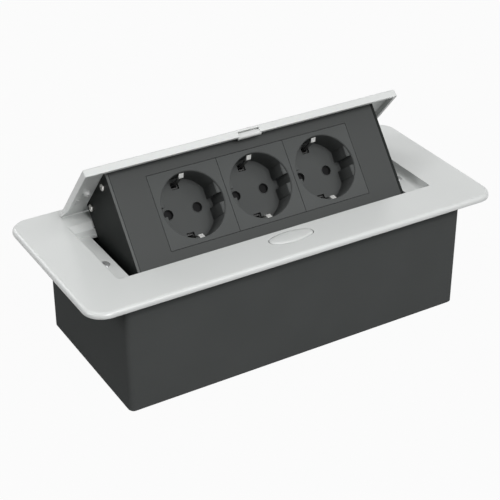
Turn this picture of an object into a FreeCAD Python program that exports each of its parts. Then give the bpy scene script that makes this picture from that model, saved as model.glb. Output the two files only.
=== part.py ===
import FreeCAD, Part
import math
import os

V = FreeCAD.Vector

# In-desk power module, shown popped up. Millimetres, +X right, +Y back, +Z up.
# The origin is the centre of the flange's underside, which is the desk top's surface.

# Bezel: the painted die-cast flange with its recessed well
flange_thickness = 3.2
flange_corner_radius = 12.0
flange_edge_round = 2.4
side_strip = 29.1
front_strip = 28.3
rear_strip = 26.4
ledge_drop = 6.4
well_wall = 1.6
well_corner_radius = 1.5
well_cove_radius = 2.8
side_ledge = 11.0
rear_ledge = 1.1
rear_wall_step = 1.6
arc_gap = 0.45
relief_gap = 0.6
seat_recess = 0.3
seat_recess_gap = 0.3

# Hinge of the pop-up block
open_angle = 50.8
pivot_behind_well = 9.4
pivot_below_flange = 14.7
pin_radius = 2.5
pin_running_gap = 0.05
pin_inner_length = 13.0
pin_overhang = 0.5
ear_radius = 5.5
bracket_thickness = 2.0
bracket_side_gap = 1.8
bracket_width = 14.0
bracket_foot = 12.0
bracket_drop = 16.0

# Lid: a thin cast plate with a rim on three sides that tapers away at the back
lid_gap = 0.75
lid_thickness = 4.7
lid_plate = 1.8
lid_rim = 2.0
lid_taper_length = 14.7
lid_tip_thickness = 1.5
lid_corner_radius = 0.8
lid_edge_chamfer = 0.4
lug_size = 6.4
lug_height = 8.6
lug_width = 6.5
bumper_gap = 0.3
bumper_wall_gap = 0.1
bumper_length = 8.0
bumper_width = 2.0
bumper_inset = 30.5

# Block: faceplate, side panels and rear cover
block_side_gap = 4.1
face_side_margin = 21.15
face_bottom_margin = 13.6
rear_space = 3.3
panel_thickness = 1.5
panel_seam = 0.25
face_tilt = 39.3
face_foot_gap = 2.9
face_edge_gap = 0.55
face_thickness = 2.0
cover_thickness = 1.2
cover_flange = 12.0
cover_screw_inset = 6.0
lip_reach = 2.5
lip_thickness = 1.5
lip_stop_gap = 0.3
lip_length = 40.0
lip_inset = 40.5
ear_top_gap = 1.0
ear_root = 19.0
panel_screw_first = 10.3
panel_screw_second = 38.2
panel_screw_drop = 4.6
panel_screw_radius = 1.25
panel_head_radius = 2.2
panel_head_sides = 12
panel_head_height = 1.3

# Socket modules: three square inserts in a row behind one window
module_count = 3
module_land = 2.85
module_seam = 0.3
window_seam = 0.25
module_top_margin = 8.3
module_front_depth = 8.0
rim_chamfer = 0.5
dish_radius = 19.65
dish_depth = 17.5
cup_wall = 1.4
cup_sides = 12
dish_floor = 1.6
rib_reach = 2.75
rib_near = 2.9
rib_far = 9.5
rib_drop = 1.25
rib_bevel = 0.6
rib_root = 0.2
pin_spacing = 19.0
pin_hole_radius = 2.95
earth_slot_width = 5.0
earth_slot_length = 4.4
earth_slot_inset = 4.15
clip_width = 3.0
clip_thickness = 0.8
clip_top_drop = 2.6
clip_reach = 2.6
clip_curl = 2.2
clip_bend_drop = 2.2
clip_flat = 3.0
strap_drop = 6.0
support_thickness = 2.2
support_margin = 7.0
support_margin_up = 2.0
cup_gap = 0.2
support_post = 6.0
base_gap = 1.4
base_depth = 18.7
base_seam = 0.2
strap_side_gap = 0.4
strap_way = 1.2
strap_cover = 0.6
shutter_pin_root = 0.5
shutter_pin_top_gap = 0.2
chamber_half = 3.9
shutter_thickness = 1.3
shutter_gap = 0.35
shutter_overlap = 3.0
shutter_half_angle = 17.0
shutter_hub_radius = 4.0
shutter_pin_radius = 1.5
shutter_pocket_gap = 1.4
leaf_root = 2.7
leaf_grip = 2.2
leaf_grip_drop = 4.0
leaf_top_gap = 0.4
leaf_flare = 3.0
leaf_share = 0.75
rail_width = 4.0
rail_thickness = 0.8
rail_offset = 6.2
rail_seam = 0.3
terminal_width = 32.0
terminal_height = 9.0
terminal_depth = 18.0
terminal_pitch = 10.0
terminal_seat = 2.0
terminal_hole = 4.4
terminal_floor = 2.0
terminal_screw_radius = 1.9
terminal_screw_height = 2.4
terminal_screw_sink = 0.6

# Case: the folded steel tray below the desk top
seat_width_x = 22.35
seat_width_y = 6.25
case_wall = 1.2
case_corner_radius = 3.5
case_floor_chamfer = 0.8
floor_gap = 3.7
tab_length = 16.0
tab_side_gap = 1.5
tab_screw_inset = 6.4
tab_screw_forward = 3.65
tab_screw_radius = 1.75
tab_head_radius = 3.3
tab_screw_length = 9.0
bush_inset = 42.35
bush_height = 21.0
bush_radius = 7.5
bush_head_radius = 9.5
bush_sides = 12
bush_head = 3.5
bush_inner = 9.0
bush_bore = 4.3
bush_nut_radius = 10.5
bush_nut_height = 4.5
earth_stud_apart = 30.0
earth_stud_radius = 2.0
earth_stud_length = 9.0
earth_head_height = 1.6
earth_nut_height = 3.2

# Latch: oval push button, wedge, sliding bolt and its guide
button_from_well = 8.9
button_half_length = 14.25
button_half_width = 5.75
button_gap = 0.45
button_proud = 0.35
button_edge_chamfer = 0.3
button_cap = 1.2
button_travel = 1.4
button_ear = 1.8
button_ear_width = 6.0
button_ear_height = 1.5
button_ear_reach_in = 3.4
button_post_inset = 1.4
stem_width = 8.0
stem_length = 7.0
stem_drop = 9.9
stem_side_gap = 0.3
wedge_height = 2.0
wedge_gap = 0.1
notch_width = 14.1
notch_top = 3.2
notch_depth = 4.5
nose_top = 2.0
nose_low = 0.4
nose_setback = 0.4
nose_flat_share = 0.7
nose_round_depth = 2.2
nose_bulge_back = 0.6
nose_bulge_up = 0.35
strike_width = 18.0
strike_side_gap = 0.15
strike_rim_gap = 0.2
strike_flange_thickness = 1.0
strike_thickness = 0.9
strike_face_gap = 1.34
strike_flange_width = 20.0
tongue_overlap = 0.95
tongue_thickness = 0.9
tongue_width = 13.0
tongue_lift = 0.15
leg_width = 1.5
leg_thickness = 0.8
leg_gap = 0.4
bolt_plate = 2.0
bolt_top_drop = 6.9
bolt_width = 15.0
bolt_length = 15.0
guide_wall = 2.0
guide_side_gap = 0.6
guide_floor_drop = 18.0
guide_flange = 14.0
guide_flange_thickness = 2.2
guide_clear = 0.3
guide_flange_depth = 7.6
guide_shelf = 2.1
guide_shelf_thickness = 1.8
guide_slide_gap = 0.2
keeper_reach = 2.1
keeper_thickness = 1.4
window_gap = 0.9

# Springs, small screws and their fits
fit_gap = 0.05
hole_gap = 0.1
wire_radius = 0.5
lift_wire_radius = 0.8
lift_coil_radius = 4.2
lift_coil_turns = 5
button_coil_radius = 2.4
button_coil_turns = 4
latch_coil_radius = 1.6
latch_coil_turns = 2
coil_steps = 8
small_screw_radius = 1.3
small_head_radius = 2.4
small_head_height = 1.4
small_screw_bite = 4.0
blind_hole_share = 0.7
blind_screw_share = 0.6
spring_turn_gap = 0.15
spring_inset = 2.0
spring_leg_gap = 0.3

# Places worked out from the sizes above
module_pitch = 2 * (dish_radius + module_land)
module_size = module_pitch - module_seam
window_width = module_count * module_pitch - module_seam + 2 * window_seam
window_height = module_size + 2 * window_seam
module_middle = -(module_top_margin + module_pitch / 2)
rib_face = dish_radius - rib_reach
clip_contact_radius = dish_radius - clip_reach
earth_slot_middle = dish_radius - earth_slot_inset
cup_bottom = -(dish_depth + dish_floor)
base_width = module_pitch - base_gap
base_top = cup_bottom - base_seam
base_bottom = base_top - base_depth
shutter_radius = pin_spacing / 2 + shutter_overlap
shutter_top = base_top - shutter_gap
pocket_floor = shutter_top - shutter_thickness - shutter_gap
rail_top = base_bottom - rail_seam

face_half = window_width / 2 + face_side_margin
panel_inner = face_half + panel_seam
block_half = panel_inner + panel_thickness
opening_half = block_half + block_side_gap
well_half = opening_half + side_ledge
half_length = well_half + side_strip
lid_half = well_half - lid_gap

lean = math.radians(open_angle - face_tilt)
roof_fall = math.tan(lean)
block_deep = rear_space + rail_thickness - rail_top
face_height = module_top_margin + module_pitch + face_bottom_margin

flange_top = flange_thickness
ledge_top = flange_top - ledge_drop
ledge_bottom = ledge_top - well_wall
lid_bottom = flange_top - lid_thickness
lid_pocket = lid_thickness - lid_plate

# Open, the faceplate stands in front of the ledge with its stop lips just below it
up_y, up_z = math.sin(math.radians(face_tilt)), math.cos(math.radians(face_tilt))
face_rise = face_height - (lip_stop_gap + lip_reach * up_y) / up_z

# The well is as deep as the turn about the pivot asks: it carries the faceplate's top
# from its open place up to the ceiling of the closed lid
turn_sin, turn_cos = math.sin(math.radians(open_angle)), math.cos(math.radians(open_angle))
top_above_pivot = ledge_bottom + pivot_below_flange + face_rise * up_z
ceiling_above_pivot = lid_bottom + lid_pocket + pivot_below_flange
top_before_pivot = (top_above_pivot * turn_cos - ceiling_above_pivot) / turn_sin
well_depth = top_before_pivot + face_rise * up_y + face_foot_gap - pivot_behind_well
closed_before_pivot = top_before_pivot * turn_cos + top_above_pivot * turn_sin
face_setback = well_depth + pivot_behind_well - closed_before_pivot - lid_gap
lid_length = well_depth - 2 * lid_gap
strike_back = face_setback - strike_face_gap
half_depth = (front_strip + well_depth + rear_strip) / 2

well_front = -half_depth + front_strip
well_rear = half_depth - rear_strip
wall_foot = well_rear - rear_wall_step
opening_rear = wall_foot - rear_ledge
lid_front = well_front + lid_gap
lid_rear = well_rear - lid_gap

case_half_x = half_length - seat_width_x
case_half_y = half_depth - seat_width_y
case_inner_x = case_half_x - case_wall
case_inner_y = case_half_y - case_wall
tab_screw_x = opening_half + tab_screw_inset
tab_screw_y = (well_front + well_rear) / 2 - tab_screw_forward
bush_x = case_half_x - bush_inset
earth_stud_x = bush_x - earth_stud_apart
button_y = well_front - button_from_well

pivot_y, pivot_z = well_rear + pivot_behind_well, -pivot_below_flange
foot_y, foot_z = well_front + face_foot_gap, ledge_bottom
face_top_y, face_top_z = foot_y + face_rise * up_y, foot_z + face_rise * up_z
opening_front = foot_y - face_edge_gap


def opened(y, z):
    """Where a point of the closed block stands when the block has popped up."""
    dy, dz = y - pivot_y, z - pivot_z
    return (pivot_y + dy * turn_cos + dz * turn_sin, pivot_z - dy * turn_sin + dz * turn_cos)


lid_origin = opened(lid_front, lid_bottom)
tip_radius = math.hypot(lid_rear - pivot_y, flange_top - lid_tip_thickness - pivot_z)
roll_radius = tip_radius - arc_gap
pivot_up = (pivot_y - face_top_y) * up_y + (pivot_z - face_top_z) * up_z
pivot_out = -(pivot_y - face_top_y) * up_z + (pivot_z - face_top_z) * up_y

closed_drop = (face_height + lip_thickness) * math.cos(lean) + lip_reach * math.sin(lean)
case_depth_z = closed_drop - (lid_bottom + lid_pocket) + floor_gap + case_wall

bolt_top = -bolt_top_drop
bolt_bottom = bolt_top - bolt_plate
tongue_tip = lid_front + nose_setback + tongue_overlap
tongue_bottom = lid_bottom + nose_top + tongue_lift
leg_rear = well_front - leg_gap


def module_x(index):
    return (index - (module_count - 1) / 2) * module_pitch


def block(x0, x1, y0, y1, z0, z1):
    return Part.makeBox(x1 - x0, y1 - y0, z1 - z0, V(x0, y0, z0))


def rod(radius, x, y, z, length, axis=V(0, 0, 1)):
    return Part.makeCylinder(radius, length, V(x, y, z), axis)


def prism(points, x0, x1):
    """A solid with a flat outline in Y and Z, from x0 to x1."""
    wire = Part.makePolygon([V(x0, y, z) for y, z in points + points[:1]])
    return Part.Face(wire).extrude(V(x1 - x0, 0, 0))


def rounded_block(half_x, half_y, z0, z1, radius, middle_y=0.0):
    solid = block(-half_x, half_x, middle_y - half_y, middle_y + half_y, z0, z1)
    return solid.makeFillet(radius, upright_edges(solid))


def upright_edges(solid):
    return [e for e in solid.Edges if abs(e.tangentAt(e.FirstParameter).z) > 0.999]


def edges_at(solid, height):
    return [e for e in solid.Edges
            if abs(e.BoundBox.ZMin - height) < 1e-4 and abs(e.BoundBox.ZMax - height) < 1e-4]


def oval(half_x, half_y, x, y, z0, z1):
    """A four-centred oval: two tight arcs at the ends and two wide ones between."""
    slant = math.hypot(half_x, half_y)
    half_way = (slant - (half_x - half_y)) / 2
    end_radius = half_way * slant / half_x
    wide_radius = (slant - half_way) * slant / half_y
    c, s = half_x / slant, half_y / slant
    join = (half_x - end_radius + end_radius * s, end_radius * c)
    tips = [V(half_x, 0, 0), V(0, half_y, 0), V(-half_x, 0, 0), V(0, -half_y, 0)]
    joins = [V(x * join[0], y * join[1], 0) for x, y in ((1, 1), (-1, 1), (-1, -1), (1, -1))]
    arcs = [Part.Arc(joins[i - 1], tips[i], joins[i]).toShape() for i in range(4)]
    face = Part.Face(Part.Wire(arcs))
    face.translate(V(x, y, z0))
    return face.extrude(V(0, 0, z1 - z0))


def coil(radius, wire, pitch, turns):
    """A wire wound about +Z from the origin's height, in short straight steps."""
    steps = turns * coil_steps
    path = [V(radius * math.cos(2 * math.pi * i / coil_steps),
              radius * math.sin(2 * math.pi * i / coil_steps),
              pitch * i / coil_steps) for i in range(steps + 1)]
    section = [V(radius + wire * math.cos(math.radians(a)), 0, wire * math.sin(math.radians(a)))
               for a in range(45, 406, 90)]
    return Part.makePolygon(path).makePipeShell([Part.makePolygon(section)], True, False, 1)


def mirrored(solid):
    return solid.mirror(V(0, 0, 0), V(1, 0, 0))


def on_lid(solid):
    """From the lid's own axes (across, back, up) to its place when open."""
    placed = solid.copy()
    placed.rotate(V(0, 0, 0), V(1, 0, 0), -open_angle)
    placed.translate(V(0, lid_origin[0], lid_origin[1]))
    return placed


def on_face(solid):
    """From the faceplate's own axes (across, up, out) to its place when open."""
    placed = solid.copy()
    placed.rotate(V(0, 0, 0), V(1, 0, 0), 90 - face_tilt)
    placed.translate(V(0, face_top_y, face_top_z))
    return placed


def flat_sided(radius, x, y, z, length, axis=V(0, 0, 1), sides=6):
    """A bar with flats, radius to its corners."""
    turns = [2 * math.pi * i / sides for i in range(sides + 1)]
    corners = [V(radius * math.cos(a), radius * math.sin(a), 0) for a in turns]
    bar = Part.Face(Part.makePolygon(corners)).extrude(V(0, 0, length))
    bar.Placement = FreeCAD.Placement(V(x, y, z), FreeCAD.Rotation(V(0, 0, 1), axis))
    return bar


def square_bar(half, x, y, z, length):
    return block(x - half, x + half, y - half, y + half, z, z + length)


def hex_screw(radius, length, head_radius, head_height):
    """Hexagon head above the origin, shank below it."""
    head = flat_sided(head_radius, 0, 0, 0, head_height)
    return head.fuse(flat_sided(radius, 0, 0, -length, length))


# Bezel

def bezel():
    plate = rounded_block(half_length, half_depth, 0, flange_top, flange_corner_radius)
    plate = plate.makeFillet(flange_edge_round, edges_at(plate, flange_top))
    well = block(-well_half - well_wall, well_half + well_wall,
                 well_front - well_wall, well_rear, ledge_bottom, flange_top / 2)
    seat_x, seat_y = case_half_x + seat_recess_gap, case_half_y + seat_recess_gap
    plate = plate.cut(block(-seat_x, seat_x, -seat_y, seat_y, -1, seat_recess))
    solid = plate.fuse(well)
    solid = solid.cut(well_hollow())
    solid = solid.cut(rear_roll())
    solid = solid.cut(block(-opening_half, opening_half, opening_front, opening_rear,
                            ledge_bottom - 1, flange_top))
    solid = solid.cut(rear_relief())
    solid = solid.cut(oval(button_half_length + button_gap, button_half_width + button_gap,
                           0, button_y, -1, flange_top + 1))
    solid = solid.cut(latch_window())
    for side in (-1, 1):
        place = V(side * tab_screw_x, tab_screw_y, ledge_bottom)
        seat = Part.makeCone(tab_screw_radius + fit_gap, tab_head_radius + fit_gap, well_wall, place)
        solid = solid.cut(seat)
    for x, y in guide_screw_places():
        solid = solid.cut(square_bar(small_screw_radius, x, y, -1, 1 + flange_thickness * blind_hole_share))
    return solid.removeSplitter()


def well_hollow():
    """The well's space: rounded corners seen from above, coved ends seen from the front."""
    above = flange_top + 1
    plan = block(-well_half, well_half, well_front, wall_foot, ledge_top, above)
    plan = plan.makeFillet(well_corner_radius, upright_edges(plan))
    low, cove = ledge_top, well_cove_radius
    bend = cove * (1 - math.sqrt(0.5))
    front = well_front - 1
    corners = [(well_half, above), (well_half, low + cove), (well_half - bend, low + bend),
               (well_half - cove, low)]
    right = [V(x, front, z) for x, z in corners]
    left = [V(-x, front, z) for x, z in corners]
    edges = [Part.makeLine(left[0], right[0]), Part.makeLine(right[0], right[1]),
             Part.Arc(right[1], right[2], right[3]).toShape(), Part.makeLine(right[3], left[3]),
             Part.Arc(left[3], left[2], left[1]).toShape(), Part.makeLine(left[1], left[0])]
    section = Part.Face(Part.Wire(edges)).extrude(V(0, wall_foot - well_front + 2, 0))
    return plan.common(section)


def rear_roll():
    """The rolled rear edge that the lid's tip passes over."""
    above = block(-well_half, well_half, wall_foot - well_corner_radius - 0.1, pivot_y,
                  ledge_top + 1, flange_top + 0.8)
    return above.cut(rod(roll_radius, -well_half - 1, pivot_y, pivot_z, 2 * well_half + 2, V(1, 0, 0)))


def rear_relief():
    """Sloped relief for the back of the open block."""
    half = block_half + 1.0
    tool = block(-half, half, -face_height, 0, -block_deep - relief_gap, -block_deep / 2)
    return on_face(tool)


def latch_window():
    """Way for the tongue through the well's front wall, and for its legs below."""
    half = tongue_width / 2 + window_gap
    back = well_front - well_wall - button_travel - window_gap
    upper = block(-half, half, back, well_front + 0.1, ledge_top, lid_bottom + notch_top + 0.1)
    lower = block(-half, half, back, well_front, ledge_bottom - 1, ledge_top + 0.1)
    return upper.fuse(lower)


# Case, its fastenings and the cable entry

def case():
    z0 = -case_depth_z
    outer = rounded_block(case_half_x, case_half_y, z0, seat_recess, case_corner_radius)
    outer = outer.makeChamfer(case_floor_chamfer, edges_at(outer, z0))
    inner = rounded_block(case_inner_x, case_inner_y, z0 + case_wall, 1,
                          case_corner_radius - case_wall)
    solid = outer.cut(inner)
    for side in (-1, 1):
        tab = block(min(side * opening_half, side * case_inner_x) + (0 if side < 0 else tab_side_gap),
                    max(side * opening_half, side * case_inner_x) - (0 if side > 0 else tab_side_gap),
                    tab_screw_y - tab_length / 2, tab_screw_y + tab_length / 2,
                    ledge_bottom - case_wall, ledge_bottom)
        solid = solid.fuse(tab)
        solid = solid.cut(square_bar(tab_screw_radius, side * tab_screw_x, tab_screw_y,
                                     ledge_bottom - case_wall - 1, case_wall + 2))
    through = case_wall + 2
    solid = solid.cut(rod(bush_radius, bush_x, case_inner_y - 1, bush_z(), through, V(0, 1, 0)))
    solid = solid.cut(rod(earth_stud_radius, earth_stud_x, case_inner_y - 1, bush_z(), through, V(0, 1, 0)))
    return solid.removeSplitter()


def bush_z():
    return -case_depth_z + bush_height


def case_screws():
    screws = []
    for side in (-1, 1):
        x = side * tab_screw_x
        head = Part.makeCone(tab_screw_radius, tab_head_radius, well_wall, V(x, tab_screw_y, ledge_bottom))
        shank = flat_sided(tab_screw_radius - fit_gap, x, tab_screw_y, ledge_top - tab_screw_length,
                           tab_screw_length)
        screws.append(head.fuse(shank).removeSplitter())
    return Part.makeCompound(screws)


def cable_bush():
    """Clamping bush of the mains lead, from outside the rear wall."""
    z = bush_z()
    back = V(0, 1, 0)
    head = flat_sided(bush_head_radius, bush_x, case_half_y, z, bush_head, back)
    body = flat_sided(bush_radius - hole_gap, bush_x, case_inner_y - bush_inner, z,
                      bush_inner + case_wall, back, bush_sides)
    bore = rod(bush_bore, bush_x, case_inner_y - bush_inner - 1, z, bush_inner + bush_head + 5, back)
    return head.fuse(body).cut(bore).removeSplitter()


def bush_nut():
    z = bush_z()
    nut = flat_sided(bush_nut_radius, bush_x, case_inner_y, z, bush_nut_height, V(0, -1, 0))
    hole = rod(bush_radius - hole_gap, bush_x, case_inner_y - bush_nut_height - 1, z,
               bush_nut_height + 2, V(0, 1, 0))
    return nut.cut(hole)


def earth_stud():
    """Protective earth stud of the steel case, with its washer and nut."""
    z, back = bush_z(), V(0, -1, 0)
    head = flat_sided(earth_stud_radius * 2, earth_stud_x, case_half_y + earth_head_height, z,
                      earth_head_height, back)
    stud = flat_sided(earth_stud_radius - fit_gap, earth_stud_x, case_half_y, z, earth_stud_length, back)
    nut = flat_sided(earth_stud_radius * 2, earth_stud_x, case_inner_y, z, earth_nut_height, back)
    return head.fuse(stud).fuse(nut).removeSplitter()


def lid_bumpers():
    pads = []
    front = well_front + bumper_wall_gap
    for side in (-1, 1):
        x = side * (block_half - bumper_inset)
        pads.append(block(x - bumper_length / 2, x + bumper_length / 2, front, front + bumper_width,
                          ledge_top, lid_bottom - bumper_gap))
    return Part.makeCompound(pads)


# Hinge brackets, pins and lift springs

def bracket_inner():
    return block_half + bracket_side_gap


def hinge_bracket():
    """Right-hand bracket: a foot welded to the case's rear wall, and a cheek for the pin."""
    x0 = bracket_inner()
    x1 = x0 + bracket_thickness
    boss = bracket_width / 2
    cheek = block(x0, x1, pivot_y, case_inner_y, pivot_z - boss, pivot_z + boss)
    eye = rod(boss, x0, pivot_y, pivot_z, bracket_thickness, V(1, 0, 0))
    foot = block(x0, x0 + bracket_foot, case_inner_y - bracket_thickness, case_inner_y,
                 pivot_z - bracket_drop, pivot_z + boss)
    solid = cheek.fuse(eye).fuse(foot)
    solid = solid.cut(rod(pin_radius, x0 - 1, pivot_y, pivot_z, bracket_thickness + 2, V(1, 0, 0)))
    return solid.removeSplitter()


def hanging_screws(places, z):
    """Small screws driven up from below, heads at height z."""
    screws = []
    for x, y in places:
        one = hex_screw(small_screw_radius - fit_gap, -z + flange_thickness * blind_screw_share,
                        small_head_radius, small_head_height)
        one.rotate(V(0, 0, 0), V(1, 0, 0), 180)
        one.translate(V(x, y, z))
        screws.append(one)
    return Part.makeCompound(screws)


def hinge_pins():
    x0 = bracket_inner()
    start = panel_inner - pin_inner_length
    length = x0 + bracket_thickness + pin_overhang - start
    pin = rod(pin_radius, start, pivot_y, pivot_z, length, V(1, 0, 0))
    return Part.makeCompound([pin, mirrored(pin)])


def lift_spring():
    """Right-hand torsion spring: one leg on the case wall, one behind the rear cover."""
    pitch = lift_wire_radius * 2 + spring_turn_gap
    wound = coil(lift_coil_radius, lift_wire_radius, pitch, lift_coil_turns)
    wound.rotate(V(0, 0, 0), V(0, 1, 0), 90)
    span = pitch * lift_coil_turns
    x0 = panel_inner - span - spring_inset
    wound.translate(V(x0, pivot_y, pivot_z))
    reach_back = case_inner_y - pivot_y - lift_wire_radius - spring_leg_gap
    low = V(x0, pivot_y, pivot_z - lift_coil_radius)
    leg = flat_sided(lift_wire_radius, low.x, low.y, low.z, reach_back, V(0, 1, 0))
    gap = -pivot_out - block_deep - lift_wire_radius - spring_leg_gap
    out_leg = flat_sided(lift_wire_radius, 0, pivot_up - lift_coil_radius, pivot_out, gap, V(0, 0, 1))
    out_leg = on_face(out_leg)
    out_leg.translate(V(x0 + span, 0, 0))
    return wound, leg, out_leg


# Lid with its catch

def lid():
    solid = block(-lid_half, lid_half, 0, lid_length, 0, lid_thickness)
    solid = solid.makeFillet(lid_corner_radius, upright_edges(solid))
    solid = solid.makeChamfer(lid_edge_chamfer, edges_at(solid, lid_thickness))
    inner = lid_half - lid_rim
    solid = solid.cut(block(-inner, inner, lid_rim, lid_length + 1, -1, lid_pocket))
    start = lid_length - lid_taper_length
    tip = lid_thickness - lid_tip_thickness
    slope = tip / lid_taper_length
    taper = [(start - 1 / slope, -1), (lid_length + 1, -1), (lid_length + 1, tip + slope)]
    solid = solid.cut(prism(taper, -lid_half - 1, lid_half + 1))
    solid = solid.cut(block(-notch_width / 2, notch_width / 2, -1, notch_depth, -1, notch_top))
    for side in (-1, 1):
        for place in panel_screw_places():
            lug = block(-lug_width / 2, lug_width / 2, place - lug_size / 2, place + lug_size / 2,
                        lid_pocket - lug_height, lid_pocket)
            lug.translate(V(side * (panel_inner - lug_width / 2), 0, 0))
            hole = block(-lug_width, lug_width, place - panel_screw_radius, place + panel_screw_radius,
                         screw_level() - panel_screw_radius, screw_level() + panel_screw_radius)
            hole.translate(V(side * (panel_inner - lug_width / 2), 0, 0))
            solid = solid.fuse(lug).cut(hole)
    return on_lid(solid.removeSplitter())


def panel_screw_places():
    """Along the lid from its front edge."""
    return [face_setback + panel_screw_first, face_setback + panel_screw_second]


def screw_level():
    return lid_pocket - panel_screw_drop


def catch_strike():
    """Nose that the latch holds: rounded below so that it pushes the tongue aside."""
    low = nose_low
    start = lid_rim + strike_rim_gap
    rear = start + strike_thickness
    round_start = V(0, nose_setback, nose_top * nose_flat_share)
    round_end = V(0, nose_setback + nose_round_depth, low)
    bulge = V(0, nose_setback + nose_bulge_back, low + nose_bulge_up)
    edges = [Part.LineSegment(V(0, nose_setback, nose_top), round_start).toShape(),
             Part.Arc(round_start, bulge, round_end).toShape(),
             Part.LineSegment(round_end, V(0, rear, low)).toShape(),
             Part.LineSegment(V(0, rear, low), V(0, rear, nose_top)).toShape(),
             Part.LineSegment(V(0, rear, nose_top), V(0, nose_setback, nose_top)).toShape()]
    profile = Part.Face(Part.Wire(edges))
    half = notch_width / 2 - strike_side_gap
    profile.translate(V(-half, 0, 0))
    nose = profile.extrude(V(2 * half, 0, 0))
    back = block(-strike_width / 2, strike_width / 2, start, rear, low, lid_pocket)
    flange = block(-strike_flange_width / 2, strike_flange_width / 2, start, strike_back,
                   lid_pocket - strike_flange_thickness, lid_pocket)
    return on_lid(nose.fuse(back).fuse(flange).removeSplitter())


# Faceplate, side panels, rear cover

def roof_at(out):
    """Height of the lid's underside above a place `out` in front of the faceplate."""
    return roof_fall * out


def faceplate():
    plate = prism([(0, 0), (roof_at(-face_thickness), -face_thickness),
                   (-face_height, -face_thickness), (-face_height, 0)], -face_half, face_half)
    solid = plate.cut(block(-window_width / 2, window_width / 2, module_middle - window_height / 2,
                            module_middle + window_height / 2, -face_thickness - 1, 1))
    for x, y in support_screw_places():
        post = square_bar(support_post / 2, x, y, -module_front_depth, module_front_depth - face_thickness)
        solid = solid.fuse(post)
        solid = solid.cut(square_bar(small_screw_radius, x, y, -module_front_depth - 1,
                                     module_front_depth - face_thickness))
    return on_face(solid.removeSplitter())


def support_screw_places():
    x = window_width / 2 + support_margin / 2
    y = (module_size - support_post) / 2
    return [(-x, module_middle + y), (x, module_middle - y)]


def support_frame():
    """Carrier plate behind the faceplate that holds the three socket inserts."""
    half_x = window_width / 2 + support_margin
    half_y = module_size / 2 + support_margin_up
    z0 = -module_front_depth - support_thickness
    z1 = -module_front_depth
    solid = block(-half_x, half_x, module_middle - half_y, module_middle + half_y, z0, z1)
    reach = cup_radius() + cup_gap
    last = module_x(module_count - 1)
    solid = solid.cut(block(-last - reach, last + reach, module_middle - reach,
                            module_middle + reach, z0 - 1, z1 + 1))
    for x, y in support_screw_places():
        solid = solid.cut(square_bar(small_screw_radius + hole_gap, x, y, z0 - 1, support_thickness + 2))
    return on_face(solid)


def support_screws():
    screws = []
    z0 = -module_front_depth - support_thickness
    for x, y in support_screw_places():
        one = hex_screw(small_screw_radius - hole_gap, support_thickness + small_screw_bite,
                        small_head_radius, small_head_height)
        one.rotate(V(0, 0, 0), V(1, 0, 0), 180)
        one.translate(V(x, y, z0))
        screws.append(one)
    return on_face(Part.makeCompound(screws))


def tangent_point(up, out, side):
    """Where a line from a point of the panel's back edge touches the ear's round end."""
    dy, dz = up - pivot_up, out - pivot_out
    distance = math.hypot(dy, dz)
    turn = side * math.acos(ear_radius / distance)
    angle = math.atan2(dz, dy) + turn
    return (pivot_up + ear_radius * math.cos(angle), pivot_out + ear_radius * math.sin(angle))


def side_panel():
    """Right-hand panel with the ear that turns on the hinge pin."""
    rear = -block_deep
    top = roof_at(rear)
    ear_up = (ledge_bottom - ear_top_gap - face_top_z - rear * up_y) / up_z
    ear_low = ear_up - ear_root
    outline = [(0, 0), (top, rear), (ear_up, rear), tangent_point(ear_up, rear, -1),
               tangent_point(ear_low, rear, 1), (ear_low, rear),
               (-face_height, rear), (-face_height, 0)]
    solid = prism(outline, panel_inner, block_half)
    solid = solid.fuse(rod(ear_radius, panel_inner, pivot_up, pivot_out, panel_thickness, V(1, 0, 0)))
    solid = solid.cut(rod(pin_radius + pin_running_gap, panel_inner - 1, pivot_up, pivot_out,
                          panel_thickness + 2, V(1, 0, 0)))
    solid = on_face(solid)
    for place in panel_screw_places():
        reach = panel_screw_radius + hole_gap
        hole = block(panel_inner - 1, block_half + 1, place - reach, place + reach,
                     screw_level() - reach, screw_level() + reach)
        solid = solid.cut(on_lid(hole))
    for up, out in cover_screw_places():
        reach = small_screw_radius + hole_gap
        hole = block(panel_inner - 1, block_half + 1, up - reach, up + reach, out - reach, out + reach)
        solid = solid.cut(on_face(hole))
    return solid.removeSplitter()


def panel_screws():
    screws = []
    for place in panel_screw_places():
        head = flat_sided(panel_head_radius, block_half, place, screw_level(), panel_head_height,
                          V(1, 0, 0), panel_head_sides)
        length = panel_thickness + lug_width - 1
        shank = flat_sided(panel_screw_radius - fit_gap, block_half - length, place, screw_level(), length,
                           V(1, 0, 0))
        one = on_lid(head.fuse(shank))
        screws += [one, mirrored(one)]
    return Part.makeCompound(screws)


def cover_screw_places():
    return [(-face_height + cover_screw_inset, -block_deep / 2)]


def rear_cover():
    """Folded cover: back plate, bottom plate, side flanges and the two stop lips."""
    rear = -block_deep
    t = cover_thickness
    profile = [(roof_at(rear), rear), (-face_height - lip_thickness, rear),
               (-face_height - lip_thickness, 0), (-face_height, 0), (-face_height, rear + t),
               (roof_at(rear + t), rear + t)]
    half = panel_inner - fit_gap
    solid = prism(profile, -half, half)
    for side in (-1, 1):
        x = side * (block_half - lip_inset)
        lip = block(x - lip_length / 2, x + lip_length / 2, -face_height - lip_thickness, -face_height,
                    -1, lip_reach)
        solid = solid.fuse(lip)
        flange = block(min(side * half, side * (half - t)), max(side * half, side * (half - t)),
                       -face_height, -face_height + cover_flange, rear, -face_thickness - t)
        solid = solid.fuse(flange)
        for up, out in cover_screw_places():
            reach = small_screw_radius
            solid = solid.cut(block(min(side * half, side * (half - t)) - t / 2,
                                    max(side * half, side * (half - t)) + t / 2,
                                    up - reach, up + reach, out - reach, out + reach))
    return on_face(solid.removeSplitter())


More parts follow.
